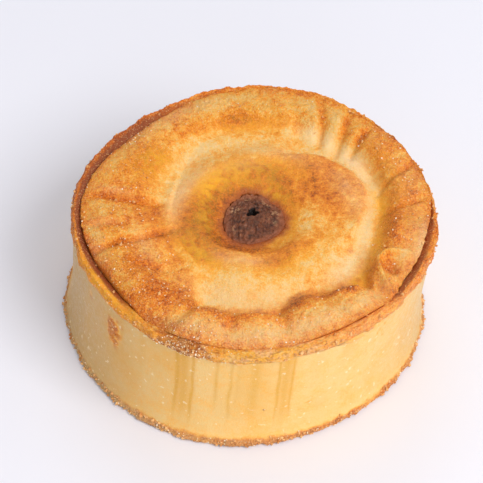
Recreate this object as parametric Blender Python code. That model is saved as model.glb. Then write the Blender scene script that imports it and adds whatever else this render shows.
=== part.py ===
"""A scotch pie: a straight-sided hot-water pastry case, a crimped pastry lid, and the meat filling.

Sizes are in millimetres and angles in degrees, anticlockwise from +X as seen from above.
The pie stands on Z = 0, and the origin is the middle of the box round its foot.
"""

import math

import bmesh
import bpy
import numpy as np
from mathutils import Matrix, Vector, noise

MM = 0.001

# Driving sizes of the whole pie
RIM_RADIUS = 45.6
RIM_TOP = 35.6
FOOT_RADIUS = 46.7
WALL_RADIUS = 44.9
LEAN = 2.6

# Pastry thicknesses, and the gap left between neighbouring pieces
WALL_THICKNESS = 3.8
FLOOR_THICKNESS = 3.6
LID_UNDERSIDE = 30.6
CLEARANCE = 0.4

# The lid, from the steam hole outwards
VENT_RADIUS = 8.0
VENT_EDGE_TOP = 32.2
COLLAR_RADIUS = 14.2
COLLAR_STEP = 0.7
DOME_TOP = 35.2
VALLEY_TOP = 33.1
FRILL_CREST = 37.5

# The meat: how high it stands in the steam hole, and the little pit where the steam came out
MEAT_TOP = 33.0
PIT_RADIUS = 1.4
PIT_DEPTH = 3.2
PIT_SHIFT = Vector((-0.2, 2.4, 0.0))

# Number of facets round each piece
CASE_STEPS = 88
LID_STEPS = 160
MEAT_STEPS = 44

# Places round the rim where the wall's top is squeezed out or in: angle, half width, extra thickness
RIM_WIDTH = 1.0
RIM_THICK_SPOTS = ((142, 34, 2.3), (215, 24, 1.7), (262, 28, 1.6), (305, 20, 0.8), (345, 14, 1.2))

# Places where the rim's top has sunk, at its outer edge and at its inner edge: angle, half width, drop
OUTER_DROPS = ((150, 30, 0.4), (215, 30, 1.2), (264, 34, 1.5), (312, 30, 0.8))
INNER_DROPS = ((150, 30, 0.3), (212, 26, 1.7), (264, 28, 0.7), (312, 26, 0.4))

# Places where the lid has shrunk from the rim and left a groove: angle, half width, extra gap
GROOVES = ((207, 17, 1.0), (150, 30, 0.5), (331, 8, 1.4), (352, 12, 0.7), (183, 9, 0.4))

# The frill's inner border, where it rises from the flat of the lid: angle and radius
FRILL_BORDER = (
    (0, 32.3),
    (25, 34.2),
    (60, 32.0),
    (105, 31.5),
    (120, 29.5),
    (134, 26.1),
    (147, 23.1),
    (162, 21.7),
    (200, 20.4),
    (222, 20.9),
    (231, 22.0),
    (238, 24.5),
    (247, 31.0),
    (262, 31.6),
    (281, 32.8),
    (288, 28.6),
    (294, 27.4),
    (300, 29.8),
    (309, 30.4),
    (319, 36.6),
    (326, 33.0),
    (334, 31.4),
    (352, 31.2),
    (360, 32.3),
)

# Height of the frill's crest above the valley: the level all round, then angle, half width, rise
CREST_RISE = 2.7
CRIMPS = (
    (187, 12, 0.9),
    (214, 16, 1.3),
    (252, 11, 1.6),
    (272, 9, 1.5),
    (294, 8, 2.0),
    (309, 8, 1.8),
    (333, 6, 0.8),
    (349, 8, 1.6),
    (13, 8, 1.4),
    (33, 9, 1.4),
    (60, 8, 0.4),
    (150, 14, 0.6),
)

# How far the frill drops from its crest to its edge: all round, then angle, half width, extra drop
EDGE_DROP = 0.6
EDGE_DROPS = ((214, 36, 1.7), (268, 28, 1.3), (331, 9, 1.3), (140, 25, 0.5), (75, 30, 0.4))

# Height of the crisp step where the frill lies on the flat of the lid: angle, half width, step
FRILL_STEPS = ((150, 30, 0.5), (205, 38, 0.9), (292, 12, 0.5), (12, 34, 0.4))

# Swellings and hollows of the lid: angle, radius, reach round the pie, reach outwards, rise
BULGES = (
    (201, 26.0, 5.0, 2.8, 0.7),
    (217, 32.5, 7.0, 3.0, -0.8),
    (210, 25.0, 9.0, 2.5, 0.4),
    (222, 36.0, 7.0, 3.0, 0.5),
    (240, 27.5, 4.0, 3.0, 0.4),
    (151, 33.5, 7.0, 5.0, 0.9),
    (184, 29.0, 3.0, 5.0, 0.5),
    (35, 26.0, 14.0, 1.5, 0.5),
    (20, 21.0, 6.0, 2.5, -0.4),
    (50, 17.0, 8.0, 2.5, -0.4),
    (300, 17.0, 7.0, 3.0, 0.3),
    (34, 37.5, 4.5, 4.0, 0.7),
    (13, 38.5, 4.0, 4.0, 0.5),
    (351, 36.5, 5.0, 3.0, 0.5),
    (294, 31.6, 3.4, 2.2, 0.7),
    (310, 34.4, 3.4, 2.0, 0.5),
    (268, 35.6, 4.0, 2.0, 0.4),
    (60, 36.0, 1.6, 4.0, -0.6),
    (51, 35.0, 1.6, 4.0, -0.6),
    (8, 33.5, 3.0, 2.5, -0.6),
    (26, 33.0, 3.0, 2.0, -0.5),
)

# Creases pressed across the frill: angle at its outer end, angle at its inner end,
# outer radius, inner radius, depth, half width, height of the ridge beside it,
# and which side the ridge is on: 1 for the larger angle, -1 for the smaller
CREASES = (
    (76.0, 67.0, 41.0, 30.0, 0.4, 1.5, 0.3, 1),
    (66.5, 57.0, 43.2, 31.0, 1.1, 1.2, 0.8, 1),
    (55.4, 46.5, 43.0, 29.6, 1.2, 1.3, 0.9, 1),
    (45.0, 41.0, 41.5, 33.0, 1.3, 1.2, 0.8, 1),
    (22.3, 15.6, 43.1, 33.2, 1.2, 0.9, 0.6, -1),
    (5.4, 2.0, 42.5, 33.0, 1.3, 0.9, 0.7, -1),
    (172.5, 171.0, 41.0, 24.0, 1.4, 1.1, 1.0, -1),
    (187.5, 188.5, 41.0, 33.0, 0.9, 1.0, 0.5, -1),
    (199.0, 196.5, 42.0, 22.0, 1.3, 1.1, 0.9, -1),
    (208.0, 222.0, 36.0, 28.5, 0.8, 1.2, 0.5, -1),
    (243.0, 246.0, 41.0, 31.0, 0.9, 1.4, 0.2, 1),
    (261.5, 262.0, 40.0, 31.5, 0.7, 1.3, 0.2, 1),
    (281.5, 281.0, 40.0, 32.0, 1.2, 1.4, 0.2, 1),
    (303.0, 301.0, 40.0, 31.0, 0.7, 1.4, 0.2, 1),
    (319.5, 318.5, 43.0, 36.0, 0.9, 1.4, 0.0, 1),
)

# How far the ridge beside a crease reaches before it has sunk away
RIDGE_REACH = 4.0

# How much wider than that table the creases are
CREASE_SOFTNESS = 1.6

# The curled ribbon of lid edge at the lower right: the places its ridge passes, as angle and radius,
# its half thickness and rise, and the hollow inside it as angle, radius, reach and depth
CURL_PATH = ((338.5, 41), (337.5, 38), (335.5, 35.4), (331.5, 34.4), (328, 35.8), (325, 38.3), (321.5, 42))
CURL_THICKNESS = 1.7
CURL_RISE = 1.9
CURL_HOLLOW = (332, 39.0, 1.9, 2.4)

# Radius of the lid's edge in its plain outline, before it is fitted to the uneven rim
OUTLINE_EDGE = 42.2

# Height of the crumbly relief on the browned crust
CRUMB_RELIEF = 0.3


def turn_between(angle, centre):
    """Degrees from centre to angle, from -180 to 180."""
    return (angle - centre + 180.0) % 360.0 - 180.0


def swell(angle, centre, half_width):
    """1 at centre, falling smoothly away to either side."""
    return np.exp(-((turn_between(angle, centre) / half_width) ** 2))


def swells(angle, spots):
    """The sum of several swells, each given as (angle, half width, size)."""
    return sum(size * swell(angle, centre, width) for centre, width, size in spots)


def ease(value, low, high):
    """0 at low and below, 1 at high and above, with a soft start and end."""
    share = np.clip((value - low) / (high - low), 0.0, 1.0)
    return share * share * (3.0 - 2.0 * share)


def mix(first, second, share):
    """The value that lies share of the way from first to second."""
    return first + (second - first) * share


def lumps(places, size):
    """Smooth random values from -1 to 1, one for each place, that change over about this size."""
    return np.array([noise.noise(Vector(place)) for place in (places / size).tolist()])


def spot(angle, radius, spot_angle, spot_radius, across, along):
    """1 in the middle of a soft spot, fading to 0: across is its reach round the pie, along outwards."""
    side = np.radians(turn_between(angle, spot_angle)) * spot_radius
    return np.exp(-((side / across) ** 2) - ((radius - spot_radius) / along) ** 2)


def spots(angle, radius, table):
    """The sum of soft spots, each given as (angle, radius, across, along, amount)."""
    return sum(row[4] * spot(angle, radius, *row[:4]) for row in table)


def squareness(angle):
    """The pie was pressed slightly square: four flats, each with a fuller stretch between."""
    return np.cos(np.radians(4.0 * (angle - 80.0)))


def rim_outer(angle):
    """Radius of the case's outer edge at the top."""
    return RIM_RADIUS + 0.7 * squareness(angle)


def rim_inner(angle):
    """Radius of the case's inner edge at the top."""
    return rim_outer(angle) - RIM_WIDTH - swells(angle, RIM_THICK_SPOTS)


def rim_drop(angle, share):
    """How far the rim's top has sunk: share is 0 at its inner edge and 1 at its outer edge."""
    return mix(swells(angle, INNER_DROPS), swells(angle, OUTER_DROPS), share)


def bore_radius(angle, height):
    """Radius of the inside of the case: straight to the lid's seat, then flaring out to the rim."""
    straight = WALL_RADIUS - WALL_THICKNESS + 0.5 * squareness(angle)
    flare_top = RIM_TOP - 0.5 - rim_drop(angle, 0.0)
    share = np.clip((height - LID_UNDERSIDE) / (flare_top - LID_UNDERSIDE), 0.0, 1.0)
    return mix(straight, rim_inner(angle), share**1.5)


def sunk(angle, height, share):
    """The height of a place on the rim or its flare once the rim has sunk."""
    return height - rim_drop(angle, share) * ease(height, LID_UNDERSIDE, RIM_TOP - 0.6)


def frill_edge(angle):
    """Radius of the lid's outer edge."""
    return rim_inner(angle) - CLEARANCE - swells(angle, GROOVES)


def frill_foot(angle):
    """Radius at which the frill rises from the flat of the lid."""
    places, radii = np.array(FRILL_BORDER).T
    left, middle, right = (np.interp((angle + shift) % 360.0, places, radii) for shift in (-1.6, 0.0, 1.6))
    return (left + 2.0 * middle + right) / 4.0


def crest_radius(angle):
    """Radius at which the frill is highest: nearer the middle at the front, where it is steeper."""
    return np.maximum(FRILL_CREST - 1.8 * swell(angle, 295, 60), frill_foot(angle) + 2.8)


def crest_top(angle):
    """Height of the frill's crest."""
    return VALLEY_TOP + CREST_RISE + swells(angle, CRIMPS)


def vent_radius(angle):
    """Radius of the torn steam hole, which has spread a little towards the front and the back."""
    ragged = 0.35 * np.cos(np.radians(3.0 * angle + 40.0))
    return VENT_RADIUS + ragged + 0.8 * swell(angle, 250, 28) + 1.0 * swell(angle, 92, 34)


def crease_relief(radius, angle):
    """How far the creases press the frill down, or lift a ridge beside them, at each place."""
    relief = 0.0 * radius
    for outer_angle, inner_angle, outer, inner, depth, width, ridge, side in CREASES:
        along = (radius - inner) / (outer - inner)
        line = mix(inner_angle, outer_angle, along)
        across = side * np.radians(turn_between(angle, line)) * radius
        fade = ease(along, -0.25, 0.2) * (1.0 - ease(along, 0.8, 1.15))
        pressed = across / (CREASE_SOFTNESS * width)
        relief -= fade * depth * np.exp(-(pressed**2))
        relief += fade * ridge * ease(pressed, 0.0, 2.2) * np.exp(-np.maximum(across, 0.0) / RIDGE_REACH)
    return relief


def laid_flat(angle, radius):
    """The place at this angle and radius as two coordinates, one row for each."""
    turn = np.radians(angle)
    return np.column_stack((radius * np.cos(turn), radius * np.sin(turn)))


def away_from_path(radius, angle, path):
    """How far each place is from a bent line through places given as angle and radius."""
    places = laid_flat(angle, radius)
    corners = laid_flat(*np.array(path, dtype=float).T)
    nearest = np.full(len(places), 1000.0)
    for start, end in zip(corners, corners[1:]):
        along = np.clip((places - start) @ (end - start) / ((end - start) @ (end - start)), 0.0, 1.0)
        nearest = np.minimum(nearest, np.hypot(*(places - start - np.outer(along, end - start)).T))
    return nearest


def curl_relief(radius, angle):
    """The curled ribbon: a rolled ridge that bends round a hollow open towards the rim."""
    ridge = CURL_RISE * np.exp(-((away_from_path(radius, angle, CURL_PATH) / CURL_THICKNESS) ** 2))
    hollow_angle, hollow_radius, reach, depth = CURL_HOLLOW
    return ridge - depth * spot(angle, radius, hollow_angle, hollow_radius, reach, reach)


def plateau(angle):
    """1 where the dome ends in a clear edge, to the right of the steam hole, and 0 elsewhere."""
    return 1.0 - ease(np.abs(turn_between(angle, 25.0)), 38.0, 58.0)


def dome_edge(angle):
    """Radius at which the dome ends and its valley begins."""
    sharp = 27.4 + 4.2 * swell(angle, 24, 24) - 4.0 * swell(angle, 74, 12)
    return mix(29.5 - 4.5 * swell(angle, 165, 70), sharp, plateau(angle))


def middle_top(radius, angle):
    """Height of the lid inside its frill: the low dome, its valley, and the dip to the steam hole."""
    slope = mix(8.0, 2.6, plateau(angle))
    top = DOME_TOP - VALLEY_TOP - 0.5 * plateau(angle)
    dome = top * (1.0 - ease(radius, dome_edge(angle) - slope, dome_edge(angle)))
    step = COLLAR_STEP * swell(angle, 262, 42)
    fall = DOME_TOP - VENT_EDGE_TOP - step
    dip = fall * (1.0 - ease(radius, VENT_RADIUS - 0.5, COLLAR_RADIUS + 1.5))
    dip += step * (1.0 - ease(radius, COLLAR_RADIUS - 1.9, COLLAR_RADIUS - 0.6))
    return VALLEY_TOP + dome - dip


def lid_top(radius, angle):
    """Height of the lid's upper surface."""
    foot = frill_foot(angle)
    crest = crest_radius(angle)
    edge = frill_edge(angle)
    height = middle_top(radius, angle)
    step = swells(angle, FRILL_STEPS)
    height = height + step * ease(radius, foot - 0.8, foot + 0.7)
    height += (crest_top(angle) - VALLEY_TOP - step) * ease(radius, foot - 0.8, crest)
    past_crest = np.maximum(0.0, (radius - crest) / (edge - crest))
    height -= (EDGE_DROP + swells(angle, EDGE_DROPS)) * past_crest**2.2
    waves = 0.7 * lumps(round_places(radius, angle, 0.0 * radius), 8.0)
    height += waves * ease(radius, VENT_RADIUS, COLLAR_RADIUS)
    height += spots(angle, radius, BULGES)
    return height + crease_relief(radius, angle) + curl_relief(radius, angle)


def lean_at(height):
    """How far the pie's middle is shifted towards +X at this height, because its wall leans."""
    return LEAN * (height / RIM_TOP - 0.5)


def round_places(radius, angle, height):
    """The places at these radii, angles and heights in the leaning pie, one row for each."""
    turn = np.radians(angle)
    return np.column_stack((radius * np.cos(turn) + lean_at(height), radius * np.sin(turn), height))


def spun(outline, steps, closed):
    """The surface swept by an outline of (radius, height) points turned once round Z."""
    mesh = bmesh.new()
    points = [mesh.verts.new((radius, 0.0, height)) for radius, height in outline]
    pairs = list(zip(points, points[1:]))
    if closed:
        pairs.append((points[-1], points[0]))
    edges = [mesh.edges.new(pair) for pair in pairs]
    bmesh.ops.spin(
        mesh,
        geom=points + edges,
        cent=(0.0, 0.0, 0.0),
        axis=(0.0, 0.0, 1.0),
        angle=math.tau,
        steps=steps,
        use_merge=True,
    )
    bmesh.ops.remove_doubles(mesh, verts=mesh.verts, dist=0.001)
    bmesh.ops.recalc_face_normals(mesh, faces=mesh.faces)
    return mesh


def pressed_body(name, outline, steps, closed, press, material):
    """Spins an outline and moves its points to where press(radius, angle, height) says."""
    mesh = spun(outline, steps, closed)
    x, y, height = np.array([point.co for point in mesh.verts]).T
    places = press(np.hypot(x, y), np.degrees(np.arctan2(y, x)) % 360.0, height)
    for point, place in zip(mesh.verts, places):
        point.co = place
    bmesh.ops.triangulate(mesh, faces=mesh.faces)
    bmesh.ops.scale(mesh, vec=(MM, MM, MM), verts=mesh.verts)
    data = bpy.data.meshes.new(name)
    mesh.to_mesh(data)
    mesh.free()
    data.materials.append(material)
    data.shade_smooth()
    data.set_sharp_from_angle(angle=math.radians(50))
    body = bpy.data.objects.new(name, data)
    bpy.context.scene.collection.objects.link(body)
    return body


def pastry(name, colour, rough):
    """A plain baked finish."""
    material = bpy.data.materials.new(name)
    material.use_nodes = True
    shader = material.node_tree.nodes["Principled BSDF"]
    shader.inputs["Base Color"].default_value = (*colour, 1.0)
    shader.inputs["Roughness"].default_value = rough
    shader.inputs["Metallic"].default_value = 0.0
    return material


def case_outline():
    """Outline of the case from the middle of its underside, up the wall, over the rim, to its floor."""
    inner = WALL_RADIUS - WALL_THICKNESS
    return [
        (0.0, 0.0),
        (16.0, 0.0),
        (31.0, 0.0),
        (FOOT_RADIUS - 0.9, 0.0),
        (FOOT_RADIUS, 0.7),
        (FOOT_RADIUS - 0.5, 1.6),
        (WALL_RADIUS + 0.7, 3.6),
        (WALL_RADIUS + 0.1, 9.0),
        (WALL_RADIUS - 0.1, 17.0),
        (WALL_RADIUS, 25.0),
        (WALL_RADIUS + 0.1, 31.0),
        (RIM_RADIUS, 32.4),
        (RIM_RADIUS + 0.1, 34.3),
        (RIM_RADIUS - 0.4, RIM_TOP),
        (RIM_RADIUS - RIM_WIDTH, RIM_TOP - 0.3),
        (inner + 2.2, RIM_TOP - 1.1),
        (inner + 1.6, RIM_TOP - 2.1),
        (inner + 0.9, RIM_TOP - 3.3),
        (inner + 0.2, LID_UNDERSIDE + 0.4),
        (inner, 20.0),
        (inner, FLOOR_THICKNESS + 1.4),
        (inner - 1.6, FLOOR_THICKNESS),
        (22.0, FLOOR_THICKNESS),
        (0.0, FLOOR_THICKNESS),
    ]


def press_case(radius, angle, height):
    """Moves the case's points to their uneven places."""
    inner = WALL_RADIUS - WALL_THICKNESS
    floor = (height < FLOOR_THICKNESS + 0.1) & (radius < inner)
    inside = (height > FLOOR_THICKNESS - 0.1) & (radius < RIM_RADIUS - 0.9) & ~floor
    lip = inside & (height > RIM_TOP - 0.5)
    share = ease(radius, rim_inner(angle), RIM_RADIUS - 0.6) * ~inside
    place = round_places(radius, angle, height)
    at_foot = 1.0 - ease(height, 1.0, 4.0)
    at_rim = ease(height, 30.5, 32.5)
    crust = at_rim + at_foot * (radius > FOOT_RADIUS - 0.6)
    outside = radius + squareness(angle) * mix(0.45, 0.7, at_rim)
    outside += crust * 1.8 * CRUMB_RELIEF * lumps(place, 4.2)
    crumbs = (height > RIM_TOP - 0.1) * 1.8 * CRUMB_RELIEF * lumps(place, 4.6)
    height = sunk(angle, height, share) + crumbs
    bore = bore_radius(angle, height) + np.where(height > LID_UNDERSIDE, 0.0, radius - inner)
    radius = np.select((floor, lip, inside), (radius, rim_inner(angle), bore), outside)
    return round_places(radius, angle, height)


def lid_outline():
    """Outline of the lid: its upper side from the steam hole to its edge, then its underside back."""
    middle = (VENT_RADIUS, 9.6, 11.3, 12.9, 14.6, 17.5, 20.5, 23.5, 26.0, 28.4)
    frill = (30.4, 32.0, 33.6, 35.2, 36.8, 38.4, 39.8, 41.1, OUTLINE_EDGE)
    seat = WALL_RADIUS - WALL_THICKNESS - CLEARANCE
    return [(radius, DOME_TOP) for radius in middle + frill] + [
        (seat + 1.0, LID_UNDERSIDE + 2.6),
        (seat + 0.5, LID_UNDERSIDE + 1.4),
        (seat - 0.1, LID_UNDERSIDE),
        (24.0, LID_UNDERSIDE),
        (VENT_RADIUS + 0.4, LID_UNDERSIDE),
    ]


def press_lid(radius, angle, height):
    """Moves the lid's points to their crimped places."""
    top = height > DOME_TOP - 0.5
    under = height < LID_UNDERSIDE + 0.1
    vent, edge = vent_radius(angle), frill_edge(angle)
    share = (radius - VENT_RADIUS) / (OUTLINE_EDGE - VENT_RADIUS)
    out = mix(vent, edge, share)
    crust = ease(out, frill_foot(angle), crest_radius(angle))
    plain = round_places(out, angle, np.full_like(out, DOME_TOP))
    rise = lid_top(out, angle) + crust * CRUMB_RELIEF * lumps(plain, 3.0)
    out = np.minimum(out, bore_radius(angle, rise) - CLEARANCE)
    hang = np.minimum(bore_radius(angle, height) - CLEARANCE, edge)
    near_vent = 1.0 - ease(radius, VENT_RADIUS + 0.5, 24.0)
    below = radius + near_vent * (vent - VENT_RADIUS)
    radius = np.select((top, under), (out, below), hang)
    return round_places(radius, angle, np.where(top, rise, height))


def meat_outline():
    """Outline of the filling: up from the case's floor, under the lid, into the steam hole, to the pit."""
    side = WALL_RADIUS - WALL_THICKNESS - CLEARANCE - 0.6
    top = LID_UNDERSIDE - CLEARANCE
    return [
        (0.0, FLOOR_THICKNESS + CLEARANCE),
        (22.0, FLOOR_THICKNESS + CLEARANCE),
        (side - 1.6, FLOOR_THICKNESS + CLEARANCE),
        (side, FLOOR_THICKNESS + CLEARANCE + 1.6),
        (side, top - 1.2),
        (side - 1.2, top),
        (24.0, top),
        (VENT_RADIUS + 0.1, top),
        (VENT_RADIUS - 0.4, LID_UNDERSIDE + 0.4),
        (VENT_RADIUS - 0.5, MEAT_TOP - 1.3),
        (VENT_RADIUS - 2.2, MEAT_TOP - 0.4),
        (4.6, MEAT_TOP - 0.1),
        (3.0, MEAT_TOP),
        (PIT_RADIUS, MEAT_TOP - 0.3),
        (0.8 * PIT_RADIUS, MEAT_TOP - 0.6 * PIT_DEPTH),
        (0.0, MEAT_TOP - PIT_DEPTH),
    ]


def press_meat(radius, angle, height):
    """Moves the filling's points to their lumpy places."""
    in_pit = (radius < PIT_RADIUS + 0.1) & (height > LID_UNDERSIDE - 2.0)
    in_vent = in_pit | (radius < VENT_RADIUS + 0.2) & (height > LID_UNDERSIDE - 1.0)
    spread = in_vent * ease(radius, PIT_RADIUS, VENT_RADIUS - 0.5)
    radius_now = radius * mix(1.0, vent_radius(angle) / VENT_RADIUS, spread)
    places = round_places(radius_now, angle, height)
    coarse = 0.9 * lumps(places, 2.2) * ease(radius, PIT_RADIUS, 3.0)
    places[:, 2] += in_vent * (height > LID_UNDERSIDE) * coarse * ease(VENT_RADIUS - radius, 0.6, 2.0)
    towards_pit = in_vent * (1.0 - ease(radius, PIT_RADIUS, VENT_RADIUS - 1.2))
    return places + np.outer(towards_pit, PIT_SHIFT)


def centre_on_origin(bodies):
    """Moves the pie so that the middle of the box round it is over the origin."""
    corners = [point.co for body in bodies for point in body.data.vertices]
    middle_x = (min(point.x for point in corners) + max(point.x for point in corners)) / 2.0
    middle_y = (min(point.y for point in corners) + max(point.y for point in corners)) / 2.0
    for body in bodies:
        body.data.transform(Matrix.Translation((-middle_x, -middle_y, 0.0)))


def main():
    for old in list(bpy.data.objects):
        bpy.data.objects.remove(old)
    pale_crust = pastry("pale_crust", (0.86, 0.62, 0.30), 0.5)
    golden_crust = pastry("golden_crust", (0.76, 0.36, 0.10), 0.5)
    mince = pastry("mince", (0.16, 0.06, 0.035), 0.45)
    bodies = [
        pressed_body("pastry_case", case_outline(), CASE_STEPS, False, press_case, pale_crust),
        pressed_body("pastry_lid", lid_outline(), LID_STEPS, True, press_lid, golden_crust),
        pressed_body("meat_filling", meat_outline(), MEAT_STEPS, False, press_meat, mince),
    ]
    centre_on_origin(bodies)


main()
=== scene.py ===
"""A scotch pie: a pale case, a browned crimped lid, and the meat that shows in its steam hole.

Sizes are in millimetres and angles in degrees, anticlockwise from +X as seen from above, unless a
name says otherwise. Positions round the pie are given as an angle and a radius from its middle.
"""

import math

import bpy
import numpy as np
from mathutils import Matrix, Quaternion, Vector, noise


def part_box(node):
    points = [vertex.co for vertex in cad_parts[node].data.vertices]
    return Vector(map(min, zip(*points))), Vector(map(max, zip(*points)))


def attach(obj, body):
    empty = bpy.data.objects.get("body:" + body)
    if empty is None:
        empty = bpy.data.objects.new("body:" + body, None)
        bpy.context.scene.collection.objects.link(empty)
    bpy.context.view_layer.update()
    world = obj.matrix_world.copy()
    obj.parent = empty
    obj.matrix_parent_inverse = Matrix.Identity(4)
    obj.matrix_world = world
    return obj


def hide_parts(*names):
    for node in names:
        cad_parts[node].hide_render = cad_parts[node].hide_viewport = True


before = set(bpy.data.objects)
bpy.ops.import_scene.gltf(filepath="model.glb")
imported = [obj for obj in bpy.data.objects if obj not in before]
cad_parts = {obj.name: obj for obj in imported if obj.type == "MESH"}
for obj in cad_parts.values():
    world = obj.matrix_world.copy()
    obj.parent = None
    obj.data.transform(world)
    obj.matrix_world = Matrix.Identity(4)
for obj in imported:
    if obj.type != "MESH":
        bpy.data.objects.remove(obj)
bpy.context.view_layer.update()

MM = 0.001

# Driving sizes of the whole pie
RIM_RADIUS = 45.6
RIM_TOP = 35.6
FOOT_RADIUS = 46.7
WALL_RADIUS = 44.9
LEAN = 2.6

# Pastry thicknesses, and the gap left between neighbouring pieces
WALL_THICKNESS = 3.8
FLOOR_THICKNESS = 3.6
LID_UNDERSIDE = 30.6
CLEARANCE = 0.4

# The lid, from the steam hole outwards
VENT_RADIUS = 8.0
VENT_EDGE_TOP = 32.2
COLLAR_RADIUS = 14.2
COLLAR_STEP = 0.7
DOME_TOP = 35.2
VALLEY_TOP = 33.1
FRILL_CREST = 37.5

# The meat in the steam hole and its little pit
MEAT_TOP = 33.0
MEAT_SIDE = WALL_RADIUS - WALL_THICKNESS - CLEARANCE - 0.6
PIT_RADIUS = 1.4
PIT_DEPTH = 3.2
PIT_SHIFT = (-0.2, 2.4)

# How finely each piece is turned
LID_STEPS = 720
LID_RINGS = 124
CASE_STEPS = 720
MEAT_STEPS = 220
MEAT_RINGS = 40

# Points of a turned piece that are closer than this are one
WELD_GAP = 0.0001

# Places round the rim where the wall's top is squeezed out or in: angle, half width, extra thickness
RIM_WIDTH = 1.0
RIM_THICK_SPOTS = ((142, 34, 2.3), (215, 24, 1.7), (262, 28, 1.6), (305, 20, 0.8), (345, 14, 1.2))

# Places where the rim's top has sunk, at its outer edge and at its inner edge: angle, half width, drop
OUTER_DROPS = ((150, 30, 0.4), (215, 30, 1.2), (264, 34, 1.5), (312, 30, 0.8))
INNER_DROPS = ((150, 30, 0.3), (212, 26, 1.7), (264, 28, 0.7), (312, 26, 0.4))

# Places where the lid has shrunk from the rim and left a groove: angle, half width, extra gap
GROOVES = ((207, 17, 1.0), (150, 30, 0.5), (331, 8, 1.4), (352, 12, 0.7), (183, 9, 0.4))

# The frill's inner border, where it rises from the flat of the lid: angle and radius
FRILL_BORDER = (
    (0, 32.3), (25, 34.2), (60, 32.0), (105, 31.5), (120, 29.5), (134, 26.1),
    (147, 23.1), (162, 21.7), (200, 20.4), (222, 20.9), (231, 22.0), (238, 24.5),
    (247, 31.0), (262, 31.6), (281, 32.8), (288, 28.6), (294, 27.4), (300, 29.8),
    (309, 30.4), (319, 36.6), (326, 33.0), (334, 31.4), (352, 31.2), (360, 32.3),
)

# Height of the frill's crest above the valley: the level all round, then angle, half width, rise
CREST_RISE = 2.7
CRIMPS = (
    (187, 12, 0.9), (214, 16, 1.3), (252, 11, 1.6), (272, 9, 1.5), (294, 8, 2.0), (309, 8, 1.8),
    (333, 6, 0.8), (349, 8, 1.6), (13, 8, 1.4), (33, 9, 1.4), (60, 8, 0.4), (150, 14, 0.6),
)

# How far the frill drops from its crest to its edge: all round, then angle, half width, extra drop
EDGE_DROP = 0.6
EDGE_DROPS = ((214, 36, 1.7), (268, 28, 1.3), (331, 9, 1.3), (140, 25, 0.5), (75, 30, 0.4))

# Height of the crisp step where the frill lies on the flat of the lid: angle, half width, step
FRILL_STEPS = ((150, 30, 0.5), (205, 38, 0.9), (292, 12, 0.5), (12, 34, 0.4))

# Swellings and hollows of the lid: angle, radius, reach round the pie, reach outwards, rise
BULGES = (
    (201, 26, 5, 2.8, 0.7), (217, 32.5, 7, 3, -0.8), (210, 25, 9, 2.5, 0.4),
    (222, 36, 7, 3, 0.5), (240, 27.5, 4, 3, 0.4), (151, 33.5, 7, 5, 0.9),
    (184, 29, 3, 5, 0.5), (35, 26, 14, 1.5, 0.5), (20, 21, 6, 2.5, -0.4),
    (50, 17, 8, 2.5, -0.4), (300, 17, 7, 3, 0.3), (34, 37.5, 4.5, 4, 0.7),
    (13, 38.5, 4, 4, 0.5), (351, 36.5, 5, 3, 0.5), (294, 31.6, 3.4, 2.2, 0.7),
    (310, 34.4, 3.4, 2, 0.5), (268, 35.6, 4, 2, 0.4), (60, 36, 1.6, 4, -0.6),
    (51, 35, 1.6, 4, -0.6), (8, 33.5, 3, 2.5, -0.6), (26, 33, 3, 2, -0.5),
)

# Creases pressed across the frill: angle at its outer end, angle at its inner end,
# outer radius, inner radius, depth, half width, height of the ridge beside it,
# and which side the ridge is on: 1 for the larger angle, -1 for the smaller
CREASES = (
    (76, 67, 41, 30, 0.4, 1.5, 0.3, 1),
    (66.5, 57, 43.2, 31, 1.1, 1.2, 0.8, 1),
    (55.4, 46.5, 43, 29.6, 1.2, 1.3, 0.9, 1),
    (45, 41, 41.5, 33, 1.3, 1.2, 0.8, 1),
    (22.3, 15.6, 43.1, 33.2, 1.2, 0.9, 0.6, -1),
    (5.4, 2, 42.5, 33, 1.3, 0.9, 0.7, -1),
    (172.5, 171, 41, 24, 1.4, 1.1, 1, -1),
    (187.5, 188.5, 41, 33, 0.9, 1, 0.5, -1),
    (199, 196.5, 42, 22, 1.3, 1.1, 0.9, -1),
    (208, 222, 36, 28.5, 0.8, 1.2, 0.5, -1),
    (243, 246, 41, 31, 0.9, 1.4, 0.2, 1),
    (261.5, 262, 40, 31.5, 0.7, 1.3, 0.2, 1),
    (281.5, 281, 40, 32, 1.2, 1.4, 0.2, 1),
    (303, 301, 40, 31, 0.7, 1.4, 0.2, 1),
    (319.5, 318.5, 43, 36, 0.9, 1.4, 0, 1),
)

# How far the ridge beside a crease reaches before it has sunk away
RIDGE_REACH = 4.0

# The curled ribbon of lid edge at the lower right: the places its ridge passes, as angle and radius,
# its half thickness and rise, and the hollow inside it as angle, radius, reach and depth
CURL_PATH = ((338.5, 41), (337.5, 38), (335.5, 35.4), (331.5, 34.4), (328, 35.8), (325, 38.3), (321.5, 42))
CURL_THICKNESS = 1.0
CURL_RISE = 1.9
CURL_HOLLOW = (332, 39.0, 1.9, 2.4)

# Radius of the lid's edge in its plain outline, before it is fitted to the uneven rim
OUTLINE_EDGE = 42.2

# Height of the crumbly relief on the browned crust
CRUMB_RELIEF = 0.3


def turn_between(angle, centre):
    """Degrees from centre to angle, from -180 to 180."""
    return (angle - centre + 180.0) % 360.0 - 180.0


def swell(angle, centre, half_width):
    """1 at centre, falling smoothly away to either side."""
    return np.exp(-((turn_between(angle, centre) / half_width) ** 2))


def swells(angle, spots):
    """The sum of several swells, each given as (angle, half width, size)."""
    return sum(size * swell(angle, centre, width) for centre, width, size in spots)


def ease(value, low, high):
    """0 at low and below, 1 at high and above, with a soft start and end."""
    share = np.clip((value - low) / (high - low), 0.0, 1.0)
    return share * share * (3.0 - 2.0 * share)


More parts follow.
